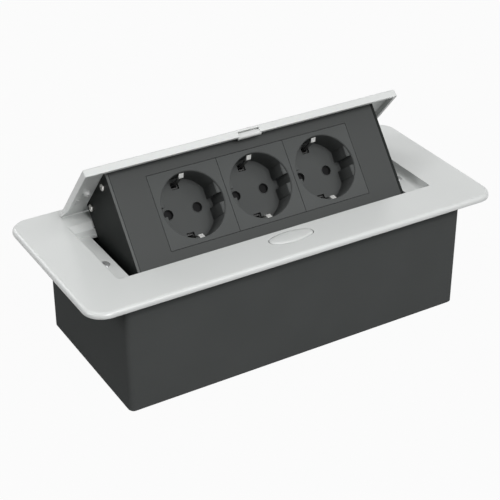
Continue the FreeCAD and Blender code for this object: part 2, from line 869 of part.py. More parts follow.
def cover_screws():
    screws = []
    for up, out in cover_screw_places():
        one = hex_screw(small_screw_radius - fit_gap, panel_thickness + cover_thickness + 2,
                        small_head_radius, small_head_height)
        one.rotate(V(0, 0, 0), V(0, 1, 0), 90)
        one.translate(V(block_half, up, out))
        one = on_face(one)
        screws += [one, mirrored(one)]
    return Part.makeCompound(screws)


# Socket inserts, in their own axes about the module's middle

def at_module(solid, index):
    placed = solid.copy()
    placed.translate(V(module_x(index), module_middle, 0))
    return on_face(placed)


def cup_radius():
    """To the corners of the cup's flats, so that its wall is nowhere thinner than stated."""
    return (dish_radius + cup_wall) / math.cos(math.pi / cup_sides)


def socket_front():
    """Square insert with the round earthed dish, its side ribs and pin holes."""
    half = module_size / 2
    solid = block(-half, half, -half, half, -module_front_depth, 0)
    cup = flat_sided(cup_radius(), 0, 0, cup_bottom, -cup_bottom - 1, sides=cup_sides)
    solid = solid.fuse(cup)
    solid = solid.cut(rod(dish_radius, 0, 0, -dish_depth, dish_depth + 1))
    rim = Part.makeCone(dish_radius, dish_radius + rim_chamfer, rim_chamfer, V(0, 0, -rim_chamfer))
    solid = solid.cut(rim)
    foot = -dish_depth - rib_root
    seat = rod(dish_radius + rib_root, 0, 0, foot, dish_depth)
    tip = dish_radius + 2 * rib_root
    outline = [V(rib_face, rib_near, foot), V(tip, rib_near, foot),
               V(tip, rib_near, -rib_drop), V(rib_face + rib_bevel, rib_near, -rib_drop),
               V(rib_face, rib_near, -rib_drop - rib_bevel)]
    bar = Part.Face(Part.makePolygon(outline + outline[:1])).extrude(V(0, rib_far - rib_near, 0))
    rib = bar.common(seat)
    far = rib.mirror(V(0, 0, 0), V(0, 1, 0))
    solid = solid.fuse([rib, far, mirrored(rib), mirrored(far)])
    for side in (-1, 1):
        x = side * pin_spacing / 2
        solid = solid.cut(rod(pin_hole_radius, x, 0, cup_bottom - 1, dish_depth))
        y = side * earth_slot_middle
        solid = solid.cut(block(-earth_slot_width / 2, earth_slot_width / 2, y - earth_slot_length / 2,
                                y + earth_slot_length / 2, cup_bottom - 1, -dish_depth + 1))
    return solid.removeSplitter()


def socket_base():
    """Rear housing with contact chambers, earth strap slot and shutter pocket."""
    half = base_width / 2
    solid = block(-half, half, -half, half, base_bottom, base_top)
    reach = shutter_radius + shutter_pocket_gap
    strap_half = clip_width / 2 + strap_side_gap
    solid = solid.cut(block(-reach, reach, -reach, reach, pocket_floor, base_top + 1))
    for side in (-1, 1):
        x = side * pin_spacing / 2
        solid = solid.cut(block(x - chamber_half, x + chamber_half, -chamber_half, chamber_half,
                                base_bottom - 1, pocket_floor + 1))
        y = side * strap_reach()
        solid = solid.cut(block(-strap_half, strap_half, y - strap_way, y + strap_way,
                                base_bottom - 1, base_top + 1))
    solid = solid.cut(block(-strap_half, strap_half, -strap_reach(), strap_reach(),
                            base_bottom - 1, strap_level() + strap_cover))
    pin_foot = pocket_floor - shutter_pin_root
    pin = rod(shutter_pin_radius, 0, 0, pin_foot, base_top - shutter_pin_top_gap - pin_foot)
    return solid.fuse(pin).removeSplitter()


def strap_reach():
    return earth_slot_middle + clip_thickness / 2


def strap_level():
    return pocket_floor - strap_drop


def earth_clip():
    """Sprung earth strap: two clips in the dish joined by a strap behind the pins."""
    reach, t = strap_reach(), clip_thickness
    top, contact = -clip_top_drop, clip_contact_radius
    low = -dish_depth - dish_floor
    bend = top - clip_bend_drop
    foot = bend - clip_flat
    inner = [(reach - t / 2, strap_level()), (reach - t / 2, low), (contact, foot), (contact, bend),
             (contact + clip_curl, top), (contact + clip_curl, top - t * 1.1),
             (contact + t, bend - t), (contact + t, foot), (reach + t / 2, low),
             (reach + t / 2, rail_top), (reach - t / 2, rail_top)]
    parts = None
    for side in (-1, 1):
        outline = [(side * b, z) for b, z in inner]
        leg = prism(outline, -clip_width / 2, clip_width / 2)
        parts = leg if parts is None else parts.fuse(leg)
    strap = block(-clip_width / 2, clip_width / 2, -reach, reach, strap_level() - t, strap_level())
    return parts.fuse(strap).removeSplitter()


def shutter():
    """Turning child-safety shutter: two blades over the pin holes and a hub between them."""
    z0 = shutter_top - shutter_thickness
    reach, hub = shutter_radius, shutter_hub_radius
    spread = reach * math.tan(math.radians(shutter_half_angle))
    outline = [(-reach, -spread), (-hub, -hub / 2), (-hub / 2, -hub), (hub / 2, -hub), (hub, -hub / 2),
               (reach, -spread), (reach, spread), (hub, hub / 2), (hub / 2, hub), (-hub / 2, hub),
               (-hub, hub / 2), (-reach, spread)]
    corners = [V(x, y, z0) for x, y in outline]
    leaf = Part.Face(Part.makePolygon(corners + corners[:1])).extrude(V(0, 0, shutter_thickness))
    return leaf.cut(rod(shutter_pin_radius + pin_running_gap, 0, 0, z0 - 1, shutter_thickness + 2))


def contact_rail(side):
    """Brass rail of one pole: a pair of sprung leaves for each module's pin on a strip."""
    x_pin = side * pin_spacing / 2
    y_strip = side * rail_offset
    z1 = rail_top
    z0 = z1 - rail_thickness
    half = (module_count - 1) / 2 * module_pitch + pin_spacing
    solid = block(-half, half, module_middle + y_strip - rail_width / 2,
                  module_middle + y_strip + rail_width / 2, z0, z1)
    top = pocket_floor - leaf_top_gap
    t = rail_thickness * leaf_share
    grip = top - leaf_grip_drop
    root = leaf_root
    leaf = [(root, z0), (root, grip - leaf_flare), (leaf_grip, grip), (root, top), (root + t, top),
            (leaf_grip + t, grip), (root + t, grip - leaf_flare), (root + t, z0)]
    for i in range(module_count):
        x = module_x(i) + x_pin
        tab = block(x - root - t, x + root + t, min(-rail_width / 2, y_strip) + module_middle,
                    max(rail_width / 2, y_strip) + module_middle, z0, z1)
        solid = solid.fuse(tab)
        for hand in (-1, 1):
            corners = [V(x + hand * a, module_middle - rail_width / 2, z) for a, z in leaf]
            wall = Part.Face(Part.makePolygon(corners + corners[:1]))
            solid = solid.fuse(wall.extrude(V(0, rail_width, 0)))
    return on_face(solid.removeSplitter())


def earth_rail():
    z1 = rail_top
    half = (module_count - 1) / 2 * module_pitch + clip_width * 2
    y = module_middle + strap_reach()
    solid = block(-half, half, y - rail_width / 2, y + rail_width / 2, z1 - rail_thickness, z1)
    return on_face(solid)


def terminal_block():
    """Three-pole terminal block on the bottom plate, for the mains lead's cores."""
    half = terminal_width / 2
    y0 = -face_height
    z0 = terminal_front()
    solid = block(-half, half, y0, y0 + terminal_height, z0, z0 + terminal_depth)
    reach = terminal_hole / 2
    middle = z0 + terminal_depth / 2
    for i in (-1, 0, 1):
        x = i * terminal_pitch
        wire_way = block(x - reach, x + reach, y0 + terminal_floor, y0 + terminal_floor + terminal_hole,
                         z0 - 1, z0 + terminal_depth + 1)
        screw_way = block(x - reach, x + reach, y0 + terminal_floor + reach, y0 + terminal_height + 1,
                          middle - reach, middle + reach)
        solid = solid.cut(wire_way).cut(screw_way)
    return on_face(solid.removeSplitter())


def terminal_front():
    return -block_deep + cover_thickness + terminal_seat


def terminal_screws():
    screws = []
    low = terminal_height - terminal_screw_height - terminal_screw_sink - face_height
    for i in (-1, 0, 1):
        screws.append(flat_sided(terminal_screw_radius, i * terminal_pitch, low,
                                 terminal_front() + terminal_depth / 2, terminal_screw_height, V(0, 1, 0)))
    return on_face(Part.makeCompound(screws))


# Latch

def release_button():
    """Oval cap with two ears under the flange and a wedge-ended stem."""
    top = flange_top + button_proud
    cap = oval(button_half_length, button_half_width, 0, button_y, top - button_cap, top)
    cap = cap.makeChamfer(button_edge_chamfer, edges_at(cap, top))
    ear_top = seat_recess - lip_stop_gap
    ear_out = button_half_length + button_gap + button_ear
    ear_in = button_half_length - button_ear_reach_in
    solid = cap
    for side in (-1, 1):
        ear = block(min(side * ear_in, side * ear_out), max(side * ear_in, side * ear_out),
                    button_y - button_ear_width / 2, button_y + button_ear_width / 2,
                    ear_top - button_ear_height, ear_top)
        post_out = button_half_length - button_post_inset
        post = block(min(side * ear_in, side * post_out), max(side * ear_in, side * post_out),
                     button_y - button_ear_width / 3, button_y + button_ear_width / 3,
                     ear_top - button_ear_height, top - button_cap)
        solid = solid.fuse(ear).fuse(post)
    y0, y1 = button_y - stem_length / 2, button_y + stem_length / 2
    tip = -stem_drop
    cap_middle = top - button_cap / 2
    stem = prism([(y0, cap_middle), (y1, cap_middle), (y1, tip),
                  (y0 + wedge_height, tip), (y0, tip + wedge_height)],
                 -stem_width / 2, stem_width / 2)
    return solid.fuse(stem).removeSplitter()


def latch_bolt():
    """Sliding bolt: tongue over the catch, two legs, and a plate with the wedge window."""
    rear = leg_rear
    front = rear - bolt_length
    half = bolt_width / 2
    plate = block(-half, half, front, rear, bolt_bottom, bolt_top)
    wedge_y = button_y - stem_length / 2
    wedge_z = -stem_drop + wedge_height
    slack = wedge_gap * math.sqrt(2)
    near = wedge_y - slack + (wedge_z - bolt_bottom)
    far = wedge_y - slack + (wedge_z - bolt_top)
    back = button_y + stem_length / 2 + button_travel + button_gap
    window = prism([(near, bolt_bottom), (far, bolt_top), (far, bolt_top + 1), (back, bolt_top + 1),
                    (back, bolt_bottom - 1), (near, bolt_bottom - 1)],
                   -stem_width / 2 - stem_side_gap, stem_width / 2 + stem_side_gap)
    solid = plate.cut(window)
    top = tongue_bottom + tongue_thickness
    wide = tongue_width / 2
    solid = solid.fuse(block(-wide, wide, rear - leg_thickness, tongue_tip, tongue_bottom, top))
    for side in (-1, 1):
        inner = wide - leg_width
        leg = block(min(side * wide, side * inner), max(side * wide, side * inner),
                    rear - leg_thickness, rear, bolt_bottom, top)
        solid = solid.fuse(leg)
    return solid.removeSplitter()


def guide_screw_places():
    y = guide_front() + guide_flange_depth / 2
    x = bolt_width / 2 + guide_side_gap + guide_wall + guide_flange / 2
    return [(-x, y), (x, y)]


def guide_front():
    return -case_inner_y + guide_clear


def guide_flange_bottom():
    return seat_recess - guide_flange_thickness


def guide_rear():
    return well_front - well_wall - button_travel - window_gap - guide_clear


def latch_guide():
    """Moulded cage under the front strip for the bolt, the stem and both springs."""
    inner = bolt_width / 2 + guide_side_gap
    outer = inner + guide_wall
    y0, y1 = guide_front(), guide_rear()
    floor = -guide_floor_drop
    solid = block(-outer, outer, y0, y1, floor - guide_wall, seat_recess)
    solid = solid.cut(block(-inner, inner, y0 + guide_wall, y1 + 1, floor, 1))
    shelf_top = bolt_bottom - guide_slide_gap
    keeper_low = bolt_top + guide_slide_gap
    for side in (-1, 1):
        near = side * (bolt_width / 2 - guide_shelf)
        shelf = block(min(near, side * inner), max(near, side * inner), y0 + 1, y1,
                      shelf_top - guide_shelf_thickness, shelf_top)
        near = side * (inner - keeper_reach)
        keeper = block(min(near, side * inner), max(near, side * inner), y0 + 1, button_y,
                       keeper_low, keeper_low + keeper_thickness)
        flange = block(min(side * outer, side * (outer + guide_flange)),
                       max(side * outer, side * (outer + guide_flange)), y0, y0 + guide_flange_depth,
                       guide_flange_bottom(), seat_recess)
        solid = solid.fuse(shelf).fuse(keeper).fuse(flange)
    for x, y in guide_screw_places():
        solid = solid.cut(square_bar(small_screw_radius + hole_gap, x, y, guide_flange_bottom() - 1,
                                     guide_flange_thickness + 2))
    return solid.removeSplitter()


def guide_screws():
    return hanging_screws(guide_screw_places(), guide_flange_bottom())


def button_spring():
    bottom, top = -guide_floor_drop + wire_radius + fit_gap, -stem_drop - wire_radius - fit_gap
    wound = coil(button_coil_radius, wire_radius, (top - bottom) / button_coil_turns, button_coil_turns)
    wound.translate(V(0, button_y, bottom))
    return wound


def latch_spring():
    start = guide_front() + guide_wall + wire_radius + fit_gap
    end = leg_rear - bolt_length - wire_radius - fit_gap
    wound = coil(latch_coil_radius, wire_radius, (end - start) / latch_coil_turns, latch_coil_turns)
    wound.rotate(V(0, 0, 0), V(1, 0, 0), -90)
    wound.translate(V(0, start, (bolt_top + bolt_bottom) / 2))
    return wound


def joined(pieces):
    solid = pieces[0]
    for piece in pieces[1:]:
        solid = solid.fuse(piece)
    return solid


def build():
    right_spring = joined(lift_spring())
    bracket = hinge_bracket()
    panel = side_panel()
    nodes = {
        "bezel": bezel(),
        "case": case(),
        "case_screws": case_screws(),
        "cable_bush": cable_bush(),
        "bush_nut": bush_nut(),
        "earth_stud": earth_stud(),
        "lid_bumpers": lid_bumpers(),
        "hinge_bracket_right": bracket,
        "hinge_bracket_left": mirrored(bracket),
        "hinge_pins": hinge_pins(),
        "lift_spring_right": right_spring,
        "lift_spring_left": mirrored(right_spring),
        "lid": lid(),
        "catch_strike": catch_strike(),
        "faceplate": faceplate(),
        "support_frame": support_frame(),
        "support_screws": support_screws(),
        "side_panel_right": panel,
        "side_panel_left": mirrored(panel),
        "panel_screws": panel_screws(),
        "rear_cover": rear_cover(),
        "cover_screws": cover_screws(),
        "live_rail": contact_rail(-1),
        "neutral_rail": contact_rail(1),
        "earth_rail": earth_rail(),
        "terminal_block": terminal_block(),
        "terminal_screws": terminal_screws(),
        "release_button": release_button(),
        "latch_bolt": latch_bolt(),
        "latch_guide": latch_guide(),
        "guide_screws": guide_screws(),
        "button_spring": button_spring(),
        "latch_spring": latch_spring(),
    }
    front, base, clip, leaf = socket_front(), socket_base(), earth_clip(), shutter()
    for i in range(module_count):
        nodes[f"socket_front_{i + 1}"] = at_module(front, i)
        nodes[f"socket_base_{i + 1}"] = at_module(base, i)
        nodes[f"earth_clip_{i + 1}"] = at_module(clip, i)
        nodes[f"shutter_{i + 1}"] = at_module(leaf, i)
    return nodes


os.makedirs("parts", exist_ok=True)
for name, solid in build().items():
    solid.exportStep(f"parts/{name}.step")
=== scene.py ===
import math

import bmesh
import bpy
from mathutils import Matrix, Vector


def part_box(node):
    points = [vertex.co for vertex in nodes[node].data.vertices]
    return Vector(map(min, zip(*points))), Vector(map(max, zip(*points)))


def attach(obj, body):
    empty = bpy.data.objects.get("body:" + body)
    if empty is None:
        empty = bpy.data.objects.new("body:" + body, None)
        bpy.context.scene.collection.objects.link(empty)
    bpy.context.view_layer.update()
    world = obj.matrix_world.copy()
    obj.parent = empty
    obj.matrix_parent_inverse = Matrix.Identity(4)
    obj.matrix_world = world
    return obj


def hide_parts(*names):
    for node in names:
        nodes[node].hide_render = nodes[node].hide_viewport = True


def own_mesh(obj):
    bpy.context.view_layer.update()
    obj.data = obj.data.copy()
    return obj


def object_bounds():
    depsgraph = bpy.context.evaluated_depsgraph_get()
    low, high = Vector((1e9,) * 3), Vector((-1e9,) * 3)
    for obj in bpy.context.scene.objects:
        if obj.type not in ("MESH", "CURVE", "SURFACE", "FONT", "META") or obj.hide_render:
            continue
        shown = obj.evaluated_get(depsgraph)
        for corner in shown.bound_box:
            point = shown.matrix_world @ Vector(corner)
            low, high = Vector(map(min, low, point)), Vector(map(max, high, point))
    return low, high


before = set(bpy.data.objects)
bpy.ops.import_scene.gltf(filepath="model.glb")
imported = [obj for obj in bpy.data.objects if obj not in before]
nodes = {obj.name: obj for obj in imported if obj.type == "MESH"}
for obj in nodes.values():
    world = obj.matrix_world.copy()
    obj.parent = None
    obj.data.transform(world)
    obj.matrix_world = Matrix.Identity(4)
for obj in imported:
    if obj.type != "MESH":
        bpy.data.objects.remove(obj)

cad_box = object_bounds()
scene = bpy.context.scene
mm = 0.001


# Camera: a long lens in front of the left end, looking down on the open block. Its
# place, turn and lens are those at which the 45 mm sockets look as in the photograph.
camera_data = bpy.data.cameras.new("view")
camera_data.lens = 100.356
camera_data.sensor_width = 36.0
camera = bpy.data.objects.new("view", camera_data)
camera.location = (-0.3721, -0.6189, 0.4060)
camera.rotation_euler = (math.radians(59.11), 0.0, math.radians(-30.73))
scene.collection.objects.link(camera)
scene.camera = camera
scene.view_settings.view_transform = "Standard"


# Bezel: a die-cast flange sprayed light grey. The paint has a faint orange peel,
# a slightly uneven gloss, and edges that the paint draws into a soft round.
finish_variation = bpy.data.node_groups.new("finish_variation", "ShaderNodeTree")
for direction, sockets in (
        ("INPUT", (("Light", "Color"), ("Dark", "Color"), ("Patch Density", "Float"),
                   ("Grain Density", "Float"), ("Rough Low", "Float"), ("Rough High", "Float"))),
        ("OUTPUT", (("Colour", "Color"), ("Roughness", "Float"), ("Height", "Float")))):
    for socket_name, kind in sockets:
        finish_variation.interface.new_socket(name=socket_name, in_out=direction,
                                              socket_type="NodeSocket" + kind)
made, link = finish_variation.nodes, finish_variation.links.new
given, out = made.new("NodeGroupInput"), made.new("NodeGroupOutput")
place = made.new("ShaderNodeTexCoord")
patches, grain = made.new("ShaderNodeTexNoise"), made.new("ShaderNodeTexNoise")
for noise, detail, density in ((patches, 1.5, "Patch Density"), (grain, 2.0, "Grain Density")):
    noise.inputs["Detail"].default_value = detail
    link(place.outputs["Object"], noise.inputs["Vector"])
    link(given.outputs[density], noise.inputs["Scale"])
shade, gloss = made.new("ShaderNodeMapRange"), made.new("ShaderNodeMapRange")
for spread in (shade, gloss):
    spread.inputs["From Min"].default_value = 0.2
    spread.inputs["From Max"].default_value = 0.8
    link(patches.outputs["Fac"], spread.inputs["Value"])
link(given.outputs["Rough Low"], gloss.inputs["To Min"])
link(given.outputs["Rough High"], gloss.inputs["To Max"])
blend = made.new("ShaderNodeMix")
blend.data_type = "RGBA"
link(shade.outputs["Result"], blend.inputs["Factor"])
link(given.outputs["Dark"], blend.inputs["A"])
link(given.outputs["Light"], blend.inputs["B"])
link(blend.outputs["Result"], out.inputs["Colour"])
link(gloss.outputs["Result"], out.inputs["Roughness"])
link(grain.outputs["Fac"], out.inputs["Height"])


def finish_of(name, light, dark, patch_mm, grain_mm, rough, relief_mm, round_mm=0.3,
              metallic=0.0, coat=0.0, coat_roughness=0.1, specular=0.5, index=1.5):
    """A surface finish: colour patches, uneven gloss, fine relief and softly rounded edges."""
    material = bpy.data.materials.new(name)
    material.use_nodes = True
    tree = material.node_tree
    look = tree.nodes.new("ShaderNodeGroup")
    look.node_tree = finish_variation
    for socket_name, value in (("Light", (*light, 1.0)), ("Dark", (*dark, 1.0)),
                               ("Patch Density", 1.0 / (patch_mm * mm)),
                               ("Grain Density", 1.0 / (grain_mm * mm)),
                               ("Rough Low", rough[0]), ("Rough High", rough[1])):
        look.inputs[socket_name].default_value = value
    relief = tree.nodes.new("ShaderNodeBump")
    relief.inputs["Strength"].default_value = 1.0
    relief.inputs["Distance"].default_value = relief_mm * mm
    soft_edge = tree.nodes.new("ShaderNodeBevel")
    soft_edge.samples = 4
    soft_edge.inputs["Radius"].default_value = round_mm * mm
    shader = tree.nodes["Principled BSDF"]
    tree.links.new(look.outputs["Colour"], shader.inputs["Base Color"])
    tree.links.new(look.outputs["Roughness"], shader.inputs["Roughness"])
    tree.links.new(look.outputs["Height"], relief.inputs["Height"])
    tree.links.new(soft_edge.outputs["Normal"], relief.inputs["Normal"])
    tree.links.new(relief.outputs["Normal"], shader.inputs["Normal"])
    for socket_name, value in (("Metallic", metallic), ("Coat Weight", coat),
                               ("Coat Roughness", coat_roughness),
                               ("Specular IOR Level", specular), ("IOR", index)):
        shader.inputs[socket_name].default_value = value
    return material


def dress(material, *names):
    """Gives CAD nodes their finish."""
    for name in names:
        for slot in nodes[name].material_slots:
            slot.material = material


frame_paint = finish_of("light_grey_paint", (0.665, 0.68, 0.67), (0.645, 0.66, 0.65), 60, 0.9,
                        (0.26, 0.34), 0.006, round_mm=0.5, coat=0.25, coat_roughness=0.18)
dress(frame_paint, "bezel")


# Tray: folded sheet steel with a fine-textured graphite powder coat. The hinge
# brackets inside are bare zinc-plated sheet, welded to the rear wall.
case_paint = finish_of("graphite_powder_coat", (0.084, 0.088, 0.087), (0.077, 0.081, 0.08), 30, 0.55,
                       (0.62, 0.72), 0.03, round_mm=0.5, index=1.05)
dress(case_paint, "case")
zinc_sheet = finish_of("zinc_plated_sheet", (0.62, 0.64, 0.65), (0.5, 0.52, 0.53), 6, 0.5,
                       (0.28, 0.42), 0.008, metallic=1.0)
dress(zinc_sheet, "hinge_bracket_left", "hinge_bracket_right")


# Cable entry: a black moulded clamping bush with its nut inside the tray, and the
# nickel-plated protective earth stud beside it.
bush_plastic = finish_of("black_bush_plastic", (0.03, 0.03, 0.031), (0.024, 0.024, 0.025), 12, 0.5,
                         (0.42, 0.52), 0.02)
dress(bush_plastic, "cable_bush", "bush_nut")
bright_plate = finish_of("bright_nickel_plate", (0.72, 0.71, 0.68), (0.62, 0.61, 0.59), 5, 0.35,
                         (0.18, 0.3), 0.006, round_mm=0.15, metallic=1.0)
dress(bright_plate, "earth_stud")


# Tray screws: two countersunk screws with raised oval heads and cross recesses, down
# through the side ledges into the tray's tabs.
def pick_nothing():
    """Deselects every object."""
    bpy.ops.object.select_all(action="DESELECT")


def pick_only(piece):
    """Selects one piece and makes it the active one."""
    pick_nothing()
    piece.select_set(True)
    bpy.context.view_layer.objects.active = piece


def set_place():
    """Moves the place, turn and scale of what is selected into its mesh."""
    bpy.ops.object.transform_apply(location=True, rotation=True, scale=True)


def put_at(piece, spot):
    """Moves a piece's mesh to a spot, and leaves its object at the origin."""
    piece.matrix_world = spot
    pick_only(piece)
    set_place()
    return piece


def smooth_up_to(degrees):
    """Shades the selected piece smooth, apart from edges sharper than this."""
    bpy.ops.object.shade_smooth_by_angle(angle=math.radians(degrees))


def pick_faces(test):
    """In edit mode: selects the faces whose middle and normal pass the test."""
    work = bmesh.from_edit_mesh(bpy.context.object.data)
    for face in work.faces:
        face.select_set(bool(test(face.calc_center_median(), face.normal)))
    work.select_flush_mode()
    bmesh.update_edit_mesh(bpy.context.object.data)


def cross_screw(name, shank_radius, shank_length, rings, recess_reach, recess_depth):
    """A cross-recessed screw along +Z: a shank below the origin, then rings (radius, height)."""
    recess_turn, recess_width = math.radians(20), 0.36 * recess_reach
    radius, height = shank_radius, rings[0][1]
    pick_nothing()
    bpy.ops.mesh.primitive_cylinder_add(vertices=32, radius=shank_radius, depth=shank_length,
                                        location=(0, 0, height - shank_length / 2))
    screw = bpy.context.object
    screw.name = screw.data.name = name
    set_place()
    bpy.ops.object.mode_set(mode="EDIT")
    bpy.ops.mesh.select_mode(type="FACE")
    for next_radius, next_height in rings:
        top, share = height, next_radius / radius
        pick_faces(lambda middle, normal: normal.z > 0.9 and abs(middle.z - top) < 0.01 * mm)
        bpy.ops.mesh.extrude_region_move(
            TRANSFORM_OT_translate={"value": (0, 0, next_height - height)})
        bpy.ops.transform.resize(value=(share, share, 1.0), center_override=(0, 0, next_height))
        radius, height = next_radius, next_height
    bpy.ops.object.mode_set(mode="OBJECT")
    for turn in (0.0, math.radians(90)):
        pick_nothing()
        bpy.ops.mesh.primitive_cube_add(size=1.0, location=(0, 0, height),
                                        rotation=(0, 0, turn + recess_turn))
        cutter = bpy.context.object
        cutter.scale = (2 * recess_reach, recess_width, 2 * recess_depth)
        recess = screw.modifiers.new("recess", "BOOLEAN")
        recess.operation = "DIFFERENCE"
        recess.solver = "EXACT"
        recess.object = cutter
        pick_only(screw)
        bpy.ops.object.modifier_apply(modifier=recess.name)
        bpy.data.objects.remove(cutter, do_unlink=True)
    smooth_up_to(30)
    return screw


def joined(name, pieces):
    """Joins pieces to one object."""
    pick_only(pieces[0])
    for piece in pieces:
        piece.select_set(True)
    bpy.ops.object.join()
    whole = bpy.context.object
    whole.name = whole.data.name = name
    return whole


def copies_at(piece, spots):
    """Copies a piece to each spot, joins the copies to one object and removes the first."""
    copies = []
    for spot in spots:
        pick_only(piece)
        bpy.ops.object.duplicate()
        copies.append(put_at(bpy.context.object, spot))
    name = piece.name
    bpy.data.objects.remove(piece, do_unlink=True)
    return joined(name, copies)


def finished(piece, material, body):
    """Colours a new piece, and fixes it to its body."""
    piece.data.materials.clear()
    piece.data.materials.append(material)
    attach(piece, body)
    return piece


head_radius, head_seat = 3.3 * mm, -3.2 * mm
screw_low, screw_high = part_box("case_screws")
screw_x = screw_high.x - head_radius
screw_y = (screw_low.y + screw_high.y) / 2
tray_screws = cross_screw("tray_screws", shank_radius=1.7 * mm, shank_length=7.0 * mm,
                          rings=[(1.75 * mm, -1.6 * mm), (head_radius, 0.0), (2.95 * mm, 0.35 * mm),
                                 (2.2 * mm, 0.62 * mm), (1.2 * mm, 0.76 * mm)],
                          recess_reach=1.75 * mm, recess_depth=1.3 * mm)
tray_screws = copies_at(tray_screws, [Matrix.Translation((x, screw_y, head_seat))
                                      for x in (-screw_x, screw_x)])
dull_plate = finish_of("dull_zinc_plate", (0.58, 0.59, 0.59), (0.5, 0.51, 0.51), 4, 0.3,
                       (0.3, 0.38), 0.006, round_mm=0.15, metallic=0.65)
finished(tray_screws, dull_plate, "housing")
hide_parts("case_screws")


# Rubber pads: two soft black stops in the well, pressed in, which the closed lid
# rests over.
pad_rubber = finish_of("soft_black_rubber", (0.045, 0.045, 0.046), (0.036, 0.036, 0.037), 8, 0.4,
                       (0.7, 0.82), 0.02, specular=0.3)
dress(pad_rubber, "lid_bumpers")


# Hinge pins: turned and nickel-plated, in the zinc-plated brackets. The block swings
# on them.
dress(bright_plate, "hinge_pins")


# Lift springs: torsion springs of round steel wire beside the hinge, which pop the
# block up. The legs push on the tray's wall and on the block's back.
spring_steel = finish_of("spring_steel", (0.42, 0.42, 0.41), (0.33, 0.33, 0.32), 4, 0.3,
                         (0.25, 0.38), 0.004, round_mm=0.1, metallic=1.0)
hinge_axis = Vector((0, 41.508 * mm, -14.7 * mm))
face_lean = math.radians(50.7)
face_up = Vector((0, math.cos(face_lean), math.sin(face_lean)))
face_out = Vector((0, -math.sin(face_lean), math.cos(face_lean)))
lift_wire, lift_coil, lift_span = 0.8 * mm, 4.2 * mm, 8.75 * mm
lift_winding = math.radians(4 * 360 + 90) - face_lean
inner_end_x = 78.25 * mm
wall_leg_length, block_leg_length = 8.4 * mm, 16.0 * mm


def wound_wire(name, wire_radius, coil_radius, sides, angle, rise, steps):
    """A round wire wound about Z from the origin, with its ends closed."""
    pick_nothing()
    bpy.ops.mesh.primitive_circle_add(vertices=sides, radius=wire_radius,
                                      location=(coil_radius, 0, 0),
                                      rotation=(math.radians(90), 0, 0))
    wire = bpy.context.object
    wire.name = wire.data.name = name
    set_place()
    turns = wire.modifiers.new("turns", "SCREW")
    turns.axis = "Z"
    turns.angle = angle
    turns.screw_offset = rise
    turns.steps = turns.render_steps = steps
    bpy.ops.object.modifier_apply(modifier=turns.name)
    bpy.ops.object.mode_set(mode="EDIT")
    bpy.ops.mesh.select_all(action="SELECT")
    bpy.ops.mesh.fill_holes(sides=0)
    bpy.ops.mesh.normals_make_consistent(inside=False)
    bpy.ops.object.mode_set(mode="OBJECT")
    return wire


def wire_leg(start, along, length):
    """A straight run of the lift spring's wire."""
    pick_nothing()
    bpy.ops.mesh.primitive_cylinder_add(vertices=16, radius=lift_wire, depth=length)
    leg = put_at(bpy.context.object, Matrix.Translation(start + along * length / 2)
                 @ along.to_track_quat("Z", "Y").to_matrix().to_4x4())
    bpy.ops.object.mode_set(mode="EDIT")
    bpy.ops.mesh.select_all(action="SELECT")
    bpy.ops.mesh.bevel(offset=0.15 * mm, segments=2, affect="EDGES")
    bpy.ops.object.mode_set(mode="OBJECT")
    return leg


for side, ending in ((-1, "left"), (1, "right")):
    inner_end = hinge_axis + Vector((side * inner_end_x, 0, 0))
    outer_end = inner_end + Vector((side * lift_span, 0, 0))
    wound = wound_wire("lift_coil", lift_wire, lift_coil, 16, -side * lift_winding,
                       side * lift_span, 100)
    put_at(wound, Matrix.Translation(inner_end) @ Matrix.Rotation(math.radians(90), 4, "Y"))
    wall_leg = wire_leg(inner_end + Vector((0, 0, -lift_coil)), Vector((0, 1, 0)), wall_leg_length)
    block_leg = wire_leg(outer_end - face_up * lift_coil, face_out, block_leg_length)
    spring = joined(f"coiled_spring_{ending}", [wound, wall_leg, block_leg])
    smooth_up_to(50)
    finished(spring, spring_steel, "housing")
    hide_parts(f"lift_spring_{ending}")


# Lid: a thin die-cast cover in the same light paint, with a rim on three sides and a
# notch for the catch. Under it are the casting's bosses and round ejector pads, and
# the light moulded nose that the latch bolt holds, with its lip and stop.
def turned(name, rings, sides):
    """A turned piece about Z, drawn through each ring (radius, height) in turn."""
    pick_nothing()
    radius, height = rings[0]
    bpy.ops.mesh.primitive_circle_add(vertices=sides, radius=radius, location=(0, 0, height))
    piece = bpy.context.object
    piece.name = piece.data.name = name
    set_place()
    bpy.ops.object.mode_set(mode="EDIT")
    bpy.ops.mesh.select_mode(type="EDGE")
    bpy.ops.mesh.select_all(action="SELECT")
    for next_radius, next_height in rings[1:]:
        share = next_radius / radius
        bpy.ops.mesh.extrude_region_move()
        bpy.ops.transform.translate(value=(0, 0, next_height - height))
        bpy.ops.transform.resize(value=(share, share, 1.0), center_override=(0, 0, 0))
        radius, height = next_radius, next_height
    bpy.ops.mesh.select_all(action="SELECT")
    bpy.ops.mesh.remove_doubles(threshold=0.001 * mm)
    bpy.ops.mesh.fill_holes(sides=0)
    bpy.ops.mesh.normals_make_consistent(inside=False)
    bpy.ops.object.mode_set(mode="OBJECT")
    smooth_up_to(35)
    return piece


